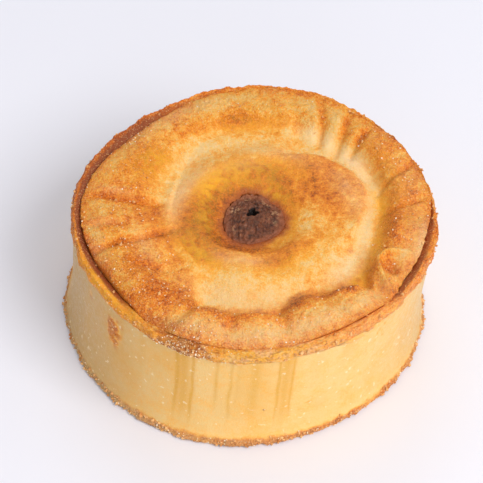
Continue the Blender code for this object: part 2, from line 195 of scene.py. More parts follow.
def mix(first, second, share):
    """The value that lies share of the way from first to second."""
    return first + (second - first) * share


def lumps(places, size):
    """Smooth random values from -1 to 1, one for each place, that change over about this size."""
    return np.array([noise.noise(Vector(place)) for place in (places / size).tolist()])


def spot(angle, radius, spot_angle, spot_radius, across, along):
    """1 in the middle of a soft spot, fading to 0: across is its reach round the pie, along outwards."""
    side = np.radians(turn_between(angle, spot_angle)) * spot_radius
    return np.exp(-((side / across) ** 2) - ((radius - spot_radius) / along) ** 2)


def spots(angle, radius, table):
    """The sum of soft spots, each given as (angle, radius, across, along, amount)."""
    return sum(row[4] * spot(angle, radius, *row[:4]) for row in table)


def squareness(angle):
    """The pie was pressed slightly square: four flats, each with a fuller stretch between."""
    return np.cos(np.radians(4.0 * (angle - 80.0)))


def rim_outer(angle):
    """Radius of the case's outer edge at the top."""
    return RIM_RADIUS + 0.7 * squareness(angle)


def rim_inner(angle):
    """Radius of the case's inner edge at the top."""
    return rim_outer(angle) - RIM_WIDTH - swells(angle, RIM_THICK_SPOTS)


def rim_drop(angle, share):
    """How far the rim's top has sunk: share is 0 at its inner edge and 1 at its outer edge."""
    return mix(swells(angle, INNER_DROPS), swells(angle, OUTER_DROPS), share)


def bore_radius(angle, height):
    """Radius of the inside of the case: straight to the lid's seat, then flaring out to the rim."""
    straight = WALL_RADIUS - WALL_THICKNESS + 0.5 * squareness(angle)
    flare_top = RIM_TOP - 0.5 - rim_drop(angle, 0.0)
    share = np.clip((height - LID_UNDERSIDE) / (flare_top - LID_UNDERSIDE), 0.0, 1.0)
    return mix(straight, rim_inner(angle), share**1.5)


def sunk(angle, height, share):
    """The height of a place on the rim or its flare once the rim has sunk."""
    return height - rim_drop(angle, share) * ease(height, LID_UNDERSIDE, RIM_TOP - 0.6)


def frill_edge(angle):
    """Radius of the lid's outer edge."""
    return rim_inner(angle) - CLEARANCE - swells(angle, GROOVES)


def frill_foot(angle):
    """Radius at which the frill rises from the flat of the lid."""
    places, radii = np.array(FRILL_BORDER).T
    left, middle, right = (np.interp((angle + shift) % 360.0, places, radii) for shift in (-1.6, 0.0, 1.6))
    return (left + 2.0 * middle + right) / 4.0


def crest_radius(angle):
    """Radius at which the frill is highest: nearer the middle at the front, where it is steeper."""
    return np.maximum(FRILL_CREST - 1.8 * swell(angle, 295, 60), frill_foot(angle) + 2.8)


def crest_top(angle):
    """Height of the frill's crest."""
    return VALLEY_TOP + CREST_RISE + swells(angle, CRIMPS)


def vent_radius(angle):
    """Radius of the torn steam hole, which has spread a little towards the front and the back."""
    ragged = 0.35 * np.cos(np.radians(3.0 * angle + 40.0))
    return VENT_RADIUS + ragged + 0.8 * swell(angle, 250, 28) + 1.0 * swell(angle, 92, 34)


def crease_relief(radius, angle):
    """How far the creases press the frill down, or lift a ridge beside them, at each place."""
    relief = 0.0 * radius
    for outer_angle, inner_angle, outer, inner, depth, width, ridge, side in CREASES:
        along = (radius - inner) / (outer - inner)
        line = mix(inner_angle, outer_angle, along)
        across = side * np.radians(turn_between(angle, line)) * radius
        fade = ease(along, -0.25, 0.2) * (1.0 - ease(along, 0.8, 1.15))
        pressed = across / width
        relief -= fade * depth * np.exp(-(pressed**2))
        relief += fade * ridge * ease(pressed, 0.0, 2.2) * np.exp(-np.maximum(across, 0.0) / RIDGE_REACH)
    return relief


def laid_flat(angle, radius):
    """The place at this angle and radius as two coordinates, one row for each."""
    turn = np.radians(angle)
    return np.column_stack((radius * np.cos(turn), radius * np.sin(turn)))


def away_from_path(radius, angle, path):
    """How far each place is from a bent line through places given as angle and radius."""
    places = laid_flat(angle, radius)
    corners = laid_flat(*np.array(path, dtype=float).T)
    nearest = np.full(len(places), 1000.0)
    for start, end in zip(corners, corners[1:]):
        along = np.clip((places - start) @ (end - start) / ((end - start) @ (end - start)), 0.0, 1.0)
        nearest = np.minimum(nearest, np.hypot(*(places - start - np.outer(along, end - start)).T))
    return nearest


def curl_relief(radius, angle):
    """The curled ribbon: a rolled ridge that bends round a hollow open towards the rim."""
    ridge = CURL_RISE * np.exp(-((away_from_path(radius, angle, CURL_PATH) / CURL_THICKNESS) ** 2))
    hollow_angle, hollow_radius, reach, depth = CURL_HOLLOW
    return ridge - depth * spot(angle, radius, hollow_angle, hollow_radius, reach, reach)


def plateau(angle):
    """1 where the dome ends in a clear edge, to the right of the steam hole, and 0 elsewhere."""
    return 1.0 - ease(np.abs(turn_between(angle, 25.0)), 38.0, 58.0)


def dome_edge(angle):
    """Radius at which the dome ends and its valley begins."""
    sharp = 27.4 + 4.2 * swell(angle, 24, 24) - 4.0 * swell(angle, 74, 12)
    return mix(29.5 - 4.5 * swell(angle, 165, 70), sharp, plateau(angle))


def middle_top(radius, angle):
    """Height of the lid inside its frill: the low dome, its valley, and the dip to the steam hole."""
    slope = mix(8.0, 2.6, plateau(angle))
    top = DOME_TOP - VALLEY_TOP - 0.5 * plateau(angle)
    dome = top * (1.0 - ease(radius, dome_edge(angle) - slope, dome_edge(angle)))
    step = COLLAR_STEP * swell(angle, 262, 42)
    fall = DOME_TOP - VENT_EDGE_TOP - step
    dip = fall * (1.0 - ease(radius, VENT_RADIUS - 0.5, COLLAR_RADIUS + 1.5))
    dip += step * (1.0 - ease(radius, COLLAR_RADIUS - 1.9, COLLAR_RADIUS - 0.6))
    return VALLEY_TOP + dome - dip


def lid_top(radius, angle):
    """Height of the lid's upper surface."""
    foot = frill_foot(angle)
    crest = crest_radius(angle)
    edge = frill_edge(angle)
    height = middle_top(radius, angle)
    step = swells(angle, FRILL_STEPS)
    height = height + step * ease(radius, foot - 0.8, foot + 0.7)
    height += (crest_top(angle) - VALLEY_TOP - step) * ease(radius, foot - 0.8, crest)
    past_crest = np.maximum(0.0, (radius - crest) / (edge - crest))
    height -= (EDGE_DROP + swells(angle, EDGE_DROPS)) * past_crest**2.2
    waves = 0.7 * lumps(round_places(radius, angle, 0.0 * radius), 8.0)
    height += waves * ease(radius, VENT_RADIUS, COLLAR_RADIUS)
    height += spots(angle, radius, BULGES)
    return height + crease_relief(radius, angle) + curl_relief(radius, angle)


def lean_at(height):
    """How far the pie's middle is shifted towards +X at this height, because its wall leans."""
    return LEAN * (height / RIM_TOP - 0.5)


def round_places(radius, angle, height):
    """The places at these radii, angles and heights in the leaning pie, one row for each."""
    turn = np.radians(angle)
    return np.column_stack((radius * np.cos(turn) + lean_at(height), radius * np.sin(turn), height))


def pie_middle():
    """Where the pie's middle stands on the floor: under its round filling, allowing for the lean."""
    low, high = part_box("meat_filling")
    lowest_side, highest_side = FLOOR_THICKNESS + CLEARANCE + 1.6, LID_UNDERSIDE - CLEARANCE - 1.2
    lean = (lean_at(lowest_side) + lean_at(highest_side)) / 2.0
    return np.array(((low.x + high.x) / 2.0 / MM - lean, (low.y + high.y) / 2.0 / MM, 0.0))


MIDDLE = pie_middle()


# Ways of making a piece


def deselect_all():
    """Leaves edit mode with nothing selected."""
    if bpy.context.object and bpy.context.object.mode != "OBJECT":
        bpy.ops.object.mode_set(mode="OBJECT")
    bpy.ops.object.select_all(action="DESELECT")


def turned(name, outline, steps, closed):
    """Turns an outline of (radius, height) once round the pie's axis; an open one ends on the axis."""
    deselect_all()
    bpy.ops.mesh.primitive_circle_add(vertices=len(outline), radius=1.0)
    piece = bpy.context.object
    piece.name = piece.data.name = name
    wire = np.zeros((len(outline), 3))
    wire[:, 0], wire[:, 2] = np.array(outline).T
    piece.data.vertices.foreach_set("co", wire.ravel())
    if not closed:
        last = len(outline) - 1
        for edge in piece.data.edges:
            edge.select = set(edge.vertices) == {0, last}
        for point in piece.data.vertices:
            point.select = False
        bpy.ops.object.mode_set(mode="EDIT")
        bpy.ops.mesh.select_mode(type="EDGE")
        bpy.ops.mesh.delete(type="EDGE")
        bpy.ops.object.mode_set(mode="OBJECT")
    turn = piece.modifiers.new("turn", "SCREW")
    turn.axis = "Z"
    turn.angle = math.tau
    turn.steps = turn.render_steps = steps
    turn.use_merge_vertices = True
    turn.merge_threshold = WELD_GAP
    bpy.ops.object.modifier_apply(modifier="turn")
    bpy.ops.object.mode_set(mode="EDIT")
    bpy.ops.mesh.select_mode(type="VERT")
    bpy.ops.mesh.select_all(action="SELECT")
    bpy.ops.mesh.remove_doubles(threshold=WELD_GAP)
    bpy.ops.mesh.normals_make_consistent(inside=False)
    bpy.ops.object.mode_set(mode="OBJECT")
    return piece


def points_of(piece, what="co"):
    """The places of a piece's points, or their normals, one row for each."""
    values = np.empty(len(piece.data.vertices) * 3)
    piece.data.vertices.foreach_get(what, values)
    return values.reshape(-1, 3)


def measured(piece):
    """The radius, angle and height of every point of a turned piece."""
    x, y, height = points_of(piece).T
    return np.hypot(x, y), np.degrees(np.arctan2(y, x)) % 360.0, height


def settle(piece, places):
    """Puts every point of a piece in its final place, given in millimetres, and smooths its shading."""
    piece.data.vertices.foreach_set("co", ((places + MIDDLE) * MM).ravel())
    piece.data.update()
    deselect_all()
    piece.select_set(True)
    bpy.context.view_layer.objects.active = piece
    bpy.ops.object.shade_smooth()


def paint(piece, **marks):
    """Stores numbers for every point of a piece, each under its name, for its finish to read."""
    for name, values in marks.items():
        layer = piece.data.attributes.new(name, "FLOAT", "POINT")
        values = np.clip(values + np.zeros(len(layer.data)), 0.0, 1.0)
        layer.data.foreach_set("value", values.astype(np.float32))


# The finishes


class Finish:
    """A surface finish that is put together from shader nodes."""

    def __init__(self, name, rough, specular=0.5):
        self.material = bpy.data.materials.new(name)
        self.material.use_nodes = True
        self.nodes = self.material.node_tree.nodes
        self.links = self.material.node_tree.links
        self.shader = self.nodes["Principled BSDF"]
        self.shader.inputs["Roughness"].default_value = rough
        self.shader.inputs["Specular IOR Level"].default_value = specular
        self.where = self.nodes.new("ShaderNodeTexCoord").outputs["Object"]

    def node(self, kind, **settings):
        """Adds a node with these properties."""
        node = self.nodes.new(kind)
        for key, value in settings.items():
            setattr(node, key, value)
        return node

    def feed(self, socket, value):
        """Joins an output to a socket, or sets the socket to a plain value."""
        if isinstance(value, bpy.types.NodeSocket):
            self.links.new(value, socket)
        else:
            socket.default_value = value

    def painted(self, name):
        """The number that paint() stored under this name."""
        return self.node("ShaderNodeAttribute", attribute_name=name).outputs["Fac"]

    def grain(self, size, detail=2.0, roughness=0.5):
        """Soft random values from 0 to 1 over about this size in millimetres."""
        texture = self.node("ShaderNodeTexNoise")
        self.feed(texture.inputs["Vector"], self.where)
        texture.inputs["Scale"].default_value = 1.0 / (size * MM)
        texture.inputs["Detail"].default_value = detail
        texture.inputs["Roughness"].default_value = roughness
        return texture.outputs["Fac"]

    def math(self, operation, first, second):
        """One sum of two numbers, either of which may come from another node."""
        node = self.node("ShaderNodeMath", operation=operation)
        self.feed(node.inputs[0], first)
        self.feed(node.inputs[1], second)
        return node.outputs[0]

    def speckle(self, size, amount, detail=3.0, roughness=0.6):
        """Random values round 0, up to about this amount either way."""
        centred = self.math("SUBTRACT", self.grain(size, detail, roughness), 0.5)
        return self.math("MULTIPLY", centred, 2.4 * amount)

    def between(self, value, low, high, start=0.0, end=1.0):
        """Stretches the values from low to high onto start to end."""
        node = self.node("ShaderNodeMapRange", interpolation_type="SMOOTHSTEP")
        for socket, number in zip(node.inputs, (value, low, high, start, end)):
            self.feed(socket, number)
        return node.outputs[0]

    def patchy(self, name, grain, full, least):
        """A painted number, broken up by grain: weakened to its least share where the grain is low."""
        return self.math("MULTIPLY", self.painted(name), self.between(grain, 0.3, full, least, 1.0))

    def ramp(self, value, stops):
        """Colours along a scale from 0 to 1, each stop given as (place, colour)."""
        node = self.node("ShaderNodeValToRGB")
        scale = node.color_ramp.elements
        while len(scale) < len(stops):
            scale.new(0.5)
        for element, (place, colour) in zip(scale, stops):
            element.position = place
            element.color = (*colour, 1.0)
        self.feed(node.inputs["Fac"], value)
        return node.outputs["Color"]

    def blend(self, share, first, second):
        """Mixes two colours."""
        node = self.node("ShaderNodeMix", data_type="RGBA")
        self.feed(node.inputs["Factor"], share)
        for socket, colour in (("A", first), ("B", second)):
            target = next(plug for plug in node.inputs if plug.name == socket and plug.type == "RGBA")
            self.feed(target, colour if isinstance(colour, bpy.types.NodeSocket) else (*colour, 1.0))
        return next(plug for plug in node.outputs if plug.type == "RGBA")

    def relief(self, height, strength, depth):
        """Fine relief in the surface, depth in millimetres."""
        bump = self.node("ShaderNodeBump")
        bump.inputs["Strength"].default_value = strength
        bump.inputs["Distance"].default_value = depth * MM
        self.feed(bump.inputs["Height"], height)
        self.feed(self.shader.inputs["Normal"], bump.outputs["Normal"])

    def soft_inside(self, weight, reach):
        """Lets some light into the surface, reach in millimetres for red, green and blue."""
        self.shader.inputs["Subsurface Weight"].default_value = weight
        self.shader.inputs["Subsurface Radius"].default_value = reach
        self.shader.inputs["Subsurface Scale"].default_value = MM


# Crust colours from unbaked to nearly burnt
CRUST_STOPS = (
    (0.0, (0.88, 0.58, 0.235)),
    (0.16, (0.91, 0.51, 0.130)),
    (0.32, (0.90, 0.385, 0.052)),
    (0.46, (0.83, 0.285, 0.026)),
    (0.62, (0.71, 0.198, 0.014)),
    (0.78, (0.53, 0.120, 0.009)),
    (1.0, (0.19, 0.036, 0.005)),
)

# The same scale where the crust is rough and crisp
CRISP_STOPS = (
    (0.0, (0.98, 0.61, 0.22)),
    (0.16, (1.0, 0.53, 0.115)),
    (0.32, (1.0, 0.415, 0.052)),
    (0.46, (0.95, 0.30, 0.026)),
    (0.62, (0.80, 0.20, 0.013)),
    (0.78, (0.60, 0.12, 0.009)),
    (1.0, (0.22, 0.036, 0.005)),
)
WALL_PALE = (0.86, 0.575, 0.215)
WALL_DRIP = (0.77, 0.39, 0.055)
WALL_FLECK = (0.96, 0.80, 0.50)
GREASY_YELLOW = (0.88, 0.40, 0.020)
DUSTY_HIGHLIGHT_PALE = (0.94, 0.54, 0.25)
GRAIN_PALE = (0.98, 0.64, 0.29)
JUICE_STAIN = (0.34, 0.080, 0.022)
RAW_PALE = (0.90, 0.69, 0.38)
# Shaded pastry tone, laid on the wall as painted shade
WALL_PAINTED_SHADE = (0.58, 0.37, 0.155)

# Mince colours from near black, painted shade for its hollows, to its fat
MINCE_STOPS = (
    (0.3, (0.035, 0.009, 0.004)),
    (0.5, (0.13, 0.036, 0.014)),
    (0.64, (0.23, 0.07, 0.028)),
    (0.8, (0.44, 0.22, 0.10)),
)
MINCE_FAT = (0.60, 0.34, 0.17)
MINCE_JUICE = (0.30, 0.085, 0.030)
MINCE_PIT_SHADE = (0.010, 0.004, 0.002)


def crust_finish(name, pale, grit, shine, flecks, calm):
    """Baked pastry: its colour follows how browned it is, with greasy, dripped and stained places, pale
    dusty places that are partly a painted highlight, and painted shade on the wall.
    """
    crust = Finish(name, 0.45, 0.27)
    rough_share = crust.painted("crumbly")
    speckle = crust.math("ADD", crust.speckle(0.45, 0.42), crust.speckle(1.8, 0.28))
    speckle = crust.math("MULTIPLY", speckle, crust.between(rough_share, 0.0, 1.0, calm, 1.0))
    baked = crust.math("ADD", crust.painted("browned"), speckle)
    colour = crust.ramp(baked, ((0.0, pale),) + CRUST_STOPS[1:])
    colour = crust.blend(rough_share, colour, crust.ramp(baked, CRISP_STOPS))
    colour = crust.blend(crust.patchy("greasy", crust.grain(1.8), 0.6, 0.3), colour, GREASY_YELLOW)
    colour = crust.blend(crust.patchy("raw", crust.grain(2.2, 3.0), 0.7, 0.5), colour, RAW_PALE)
    # Painted shade on the wall
    colour = crust.blend(crust.painted("dull"), colour, WALL_PAINTED_SHADE)
    colour = crust.blend(crust.painted("dripped"), colour, WALL_DRIP)
    # Pale dusty tone, partly a painted highlight
    colour = crust.blend(crust.patchy("dusty", crust.grain(0.7, 3.0), 0.7, 0.4), colour, DUSTY_HIGHLIGHT_PALE)
    colour = crust.blend(crust.painted("stained"), colour, JUICE_STAIN)
    flour = crust.math("MULTIPLY", crust.between(crust.grain(0.38, 1.0), 0.58, 0.70), rough_share)
    colour = crust.blend(crust.math("MULTIPLY", flour, 0.45), colour, GRAIN_PALE)
    smooth_share = crust.between(rough_share, 0.26, 0.5, flecks, 0.0)
    smooth_share = crust.math("MAXIMUM", smooth_share, crust.math("MULTIPLY", crust.painted("dull"), 0.7))
    fleck = crust.math("MULTIPLY", crust.between(crust.grain(1.5, 1.0), 0.68, 0.73), smooth_share)
    colour = crust.blend(fleck, colour, WALL_FLECK)
    crust.feed(crust.shader.inputs["Base Color"], colour)
    gloss = crust.between(crust.grain(1.1), 0.35, 0.65, shine + 0.22, shine)
    crust.feed(crust.shader.inputs["Roughness"], gloss)
    fine = crust.math("ADD", crust.grain(0.6, 4.0, 0.7), crust.grain(0.35, 2.0, 0.6))
    fine = crust.math("MULTIPLY", fine, crust.between(rough_share, 0.0, 1.0, 0.6 * calm, 1.0))
    crust.relief(fine, grit, 0.5)
    crust.soft_inside(0.12, (2.0, 0.9, 0.35))
    return crust.material


def meat_finish():
    """Cooked mince: matt purple-brown lumps with moist glints, with painted shade in their hollows and in
    the pit.
    """
    meat = Finish("cooked_mince", 0.4, 0.35)
    colour = meat.ramp(meat.grain(1.5, 4.0, 0.65), MINCE_STOPS)
    bits = meat.math("MULTIPLY", meat.painted("fatty"), meat.between(meat.grain(0.9), 0.45, 0.6))
    colour = meat.blend(bits, colour, MINCE_FAT)
    colour = meat.blend(meat.painted("juicy"), colour, MINCE_JUICE)
    # Painted shade: the pit is coloured nearly black
    colour = meat.blend(meat.painted("pit"), colour, MINCE_PIT_SHADE)
    meat.feed(meat.shader.inputs["Base Color"], colour)
    meat.feed(meat.shader.inputs["Roughness"], meat.between(meat.grain(0.7), 0.35, 0.65, 0.65, 0.25))
    meat.relief(meat.grain(0.45, 4.0, 0.7), 0.7, 0.3)
    return meat.material


# The lid


# Browner and paler places on the lid: angle, radius, reach round the pie, reach outwards, amount
# The browner places along the inner slope of the front frill, about 260 to 325 degrees at radius 29 to 35,
# are partly real browning and partly painted shade; the paler places on its crest, radius 36 to 41, are
# partly a painted highlight.
LID_PATCHES = (
    (107, 34, 7, 2.2, 0.12), (96, 35, 4, 2, 0.10), (203, 35, 8, 4, 0.12),
    (232, 38, 8, 4, 0.06), (196, 31, 9, 1.6, 0.02), (172, 30, 7, 1.4, 0.12),
    (146, 35, 4, 2, 0.08), (166, 33, 10, 4, 0.08), (183, 27, 6, 2, 0.10),
    (186, 17, 5, 3.5, 0.30), (190, 12, 5, 2.5, 0.20), (84, 32, 8, 3, 0.14),
    (300, 17, 6, 2.6, 0.14), (282, 37, 8, 3.5, -0.12), (260, 37, 9, 2, 0.16),
    (300, 36, 9, 3, -0.08), (310, 34, 5, 2.6, 0.14), (292, 31, 4, 1.8, 0.14),
    (352, 34, 4, 3, 0.16), (34, 38, 6, 4, 0.18), (12, 38, 5, 4, 0.14),
    (25, 19, 9, 3, 0.08), (46, 12.5, 7, 2.4, 0.30), (12, 12, 5, 2.2, -0.20),
    (95, 19, 10, 3.5, 0.14), (120, 20, 5, 3, 0.10), (165, 19, 6, 3, 0.22),
    (303, 15.5, 7, 3, 0.42), (280, 16.5, 5, 2, 0.20), (178, 13, 6, 3, 0.30),
    (215, 12.5, 5, 2.5, 0.28), (264, 11, 6, 1.6, 0.22), (344, 11, 5, 2, 0.24),
    (78, 14, 5, 2.6, 0.20), (262, 26, 11, 4.5, -0.10), (16, 31.5, 10, 1.8, -0.20),
    (345, 29, 6, 2, -0.10), (132, 25, 7, 3, -0.08), (8, 38.5, 16, 4, 0.12),
    (16, 22, 4, 2, -0.12), (37, 17, 4, 2, -0.10), (110, 39, 18, 4, -0.08),
    (148, 38, 10, 4, -0.12), (242, 40, 5, 3, -0.16), (275, 41, 16, 2.6, -0.22),
    (303, 40, 10, 3, -0.18), (340, 40, 12, 4, -0.08), (268, 34.5, 14, 2.2, 0.14),
    (252, 34, 4, 2.5, 0.10), (222, 34, 9, 3.6, 0.20), (210, 16.5, 12, 3.5, 0.22),
    (242, 27, 7, 5, 0.08), (262, 31.8, 9, 1.8, 0.36), (282, 31.3, 8, 1.8, 0.28),
    (301, 32.5, 8, 3, 0.24), (322, 33, 5, 2.4, 0.50), (190, 13, 10, 2.6, 0.30),
    (216, 17, 6, 3, 0.16), (320, 12.5, 6, 1.6, 0.24), (340, 12.5, 6, 1.6, 0.10),
    (40, 16, 6, 2.5, 0.10), (84, 16, 6, 2.5, 0.12), (140, 14, 8, 2.5, 0.20),
    (280, 30, 8, 3, 0.12), (301, 27.5, 6, 2, 0.14), (346, 31, 7, 2, 0.14),
    (100, 30, 10, 2, 0.08), (223, 19, 6, 3, 0.20), (80, 16, 7, 3, 0.20),
    (120, 24, 5, 2.5, 0.20), (40, 22, 8, 3, 0.14), (20, 20, 6, 2.5, 0.14),
    (62, 24, 5, 2.5, 0.14), (300, 20, 6, 2.5, 0.12), (160, 12, 6, 2, 0.14),
    (340, 20, 7, 3, 0.12), (60, 33, 5, 2.5, -0.16), (42, 33, 6, 2.5, -0.08),
    (92, 34.5, 12, 1.8, 0.14), (182, 35.5, 7, 3, -0.12), (200, 31, 6, 2, -0.12),
    (210, 43, 14, 1.6, 0.25), (1, 32.5, 8, 3, 0.24), (175, 10.5, 14, 2.5, 0.25),
    (82, 14, 7, 2.5, 0.18), (284, 24, 5, 3, 0.14), (262, 22, 7, 5, -0.06),
    (312, 34, 3.5, 3.5, 0.32), (293, 29.5, 4.5, 2, 0.28), (352, 33, 6, 1.8, 0.20),
    (330, 31, 6, 1.5, 0.12), (95, 33.5, 14, 1.8, 0.26), (146, 30, 8, 5, 0.20),
    (128, 36, 3, 5, -0.14), (108, 39, 3, 4, -0.12), (158, 38, 5, 3, 0.10),
    (190, 24, 9, 2.5, 0.22), (222, 18, 8, 4, 0.42), (138, 12, 5, 3, 0.36),
    (105, 13, 8, 4, 0.20), (276, 19.5, 2.5, 3, 0.15), (315, 12, 8, 1.8, -0.30),
    (355, 12, 6, 3, -0.38), (200, 37, 6, 4, -0.08), (233, 38, 2.5, 2, 0.20),
)

# Places where the fat has soaked in and made the crust a clear yellow
GREASY_PATCHES = (
    (105, 16, 12, 5, 0.8), (150, 15, 8, 3, 0.7), (222, 19, 10, 4, 0.8),
    (190, 12, 6, 2.5, 0.6), (262, 27, 12, 3, 0.3), (92, 33, 12, 2.5, 0.5),
    (92, 38, 20, 4, 0.2), (20, 37, 12, 2.5, 0.5), (150, 32, 7, 5, 0.4),
    (8, 32.5, 6, 2, 0.8), (342, 32, 8, 2, 0.8), (322, 33, 3, 3, 0.8),
    (144, 30, 5, 4, 0.6), (295, 19, 12, 4, 0.5), (335, 10, 10, 2.5, 0.5),
    (60, 10.5, 6, 2.5, 0.6), (65, 20, 8, 4, 0.3), (205, 37, 12, 3, 0.2),
)

# Places where the dough has stayed pale
RAW_PATCHES = (
    (20, 25.5, 9, 3, 0.26), (36, 32, 9, 1.9, 0.85), (0, 27.5, 8, 2.2, 0.12),
    (340, 28.8, 8, 2.2, 0.36), (322, 28.5, 6, 2.8, 0.6), (78, 23, 9, 2.6, 0.36),
    (102, 17.5, 6, 2.6, 0.14), (140, 20.5, 6, 2.6, 0.32), (162, 20, 6, 2.4, 0.4),
    (130, 26, 6, 2.5, 0.25), (203, 29.5, 6, 2.5, 0.22), (258, 16.5, 6, 2, 0.36),
    (262, 28, 12, 3, 0.45), (283, 27.5, 6, 2.5, 0.15), (62, 33, 5, 2, 0.5),
    (345, 42.8, 6, 1.2, 0.6),
)

# Places where the crisp top has baked dry, pale and slightly pink; along the folds near 169 and 187 degrees
# and on the front and back-left edges of the frill this pale tone is partly a painted highlight
DUSTY_HIGHLIGHT_PATCHES = (
    (250, 41, 8, 2.5, 0.5), (270, 41.5, 10, 2.6, 0.7), (292, 40.5, 10, 3, 0.65),
    (314, 41, 7, 2.5, 0.5), (343, 41, 12, 3, 0.4), (122, 40.5, 14, 2.6, 0.45),
    (15, 40, 10, 4, 0.2), (166, 20.5, 9, 2, 0.5), (36, 32.4, 5, 1.4, 0.6),
    (12, 29.5, 9, 1.4, 0.4), (198, 40.5, 7, 2, 0.3), (187, 38, 1.2, 4, 0.4),
    (169, 36, 1, 5, 0.4),
)


def lid_outline():
    """Outline of the lid: its upper side from the steam hole to its edge, and its underside back."""
    upper = np.linspace(VENT_RADIUS, OUTLINE_EDGE, LID_RINGS)
    seat = WALL_RADIUS - WALL_THICKNESS - CLEARANCE
    outline = [(radius, DOME_TOP) for radius in upper]
    outline += [(seat + 0.5, LID_UNDERSIDE + 2.4 * share) for share in (0.9, 0.75, 0.6, 0.45, 0.3)]
    under = (seat - 0.1, 32.0, 24.0, 14.0, VENT_RADIUS + 0.4)
    return outline + [(radius, LID_UNDERSIDE) for radius in under]


def frill_share(radius, angle):
    """How far up into the crisp frill a place is, from 0 to 1."""
    return ease(radius, frill_foot(angle) - 1.0, crest_radius(angle) - 0.3)


def lid_browning_and_shading(radius, angle, places, relief):
    """How browned the lid is at each place, with painted shade and highlight along its creases, its curl
    and its frill.
    """
    foot = frill_foot(angle)
    flap = swell(angle, 200, 50)
    browned = 0.06 + 0.31 * ease(radius, foot - 0.8, mix(crest_radius(angle), foot + 1.6, flap))
    # Paler on the frill at the back: partly to offset the shade on its slope, which faces away from the
    # light.
    browned -= 0.14 * swell(angle, 72, 34) * ease(radius, foot, foot + 4.0)
    browned += 0.40 * plateau(angle) * (1.0 - ease(radius, dome_edge(angle) - 2.6, dome_edge(angle) - 0.6))
    browned -= 0.22 * plateau(angle) * swell(angle, 345, 20) * (radius < 26.0)
    browned += 0.12 * (1.0 - plateau(angle)) * (1.0 - ease(radius, 15.0, 25.0))
    browned += 0.26 * (1.0 - ease(radius, VENT_RADIUS + 1.5, COLLAR_RADIUS + 0.3))
    browned += 0.20 * swell(angle, 245, 50) * (1.0 - ease(radius, COLLAR_RADIUS - 0.6, COLLAR_RADIUS + 0.1))
    browned += 0.14 * ease(radius, frill_edge(angle) - 2.0, frill_edge(angle))
    # Painted shade in the creases and painted highlight on the ridges beside them, at the back right and at
    # the left.
    browned -= 0.22 * crease_relief(radius, angle) * (swell(angle, 58, 24) + 0.7 * swell(angle, 192, 26))
    # The curl's ridge is painted paler, a painted highlight, and its hollow browner.
    ribbon = np.exp(-((away_from_path(radius, angle, CURL_PATH) / 0.9) ** 2))
    browned += 0.30 * spot(angle, radius, *CURL_HOLLOW[:3], 1.9) - 0.16 * ribbon
    at_border = swell(angle, 212, 22)
    browned += 0.26 * at_border * np.exp(-(((radius - foot + 0.2) / 0.6) ** 2))
    browned -= 0.12 * at_border * np.exp(-(((radius - foot - 1.6) / 1.0) ** 2))
    browned += spots(angle, radius, LID_PATCHES)
    browned += 0.20 * lumps(places, 5.5) + 0.14 * lumps(places, 2.2)
    return np.minimum(browned, 0.72 + 0.25 * (browned - 0.72)) + 0.14 * relief


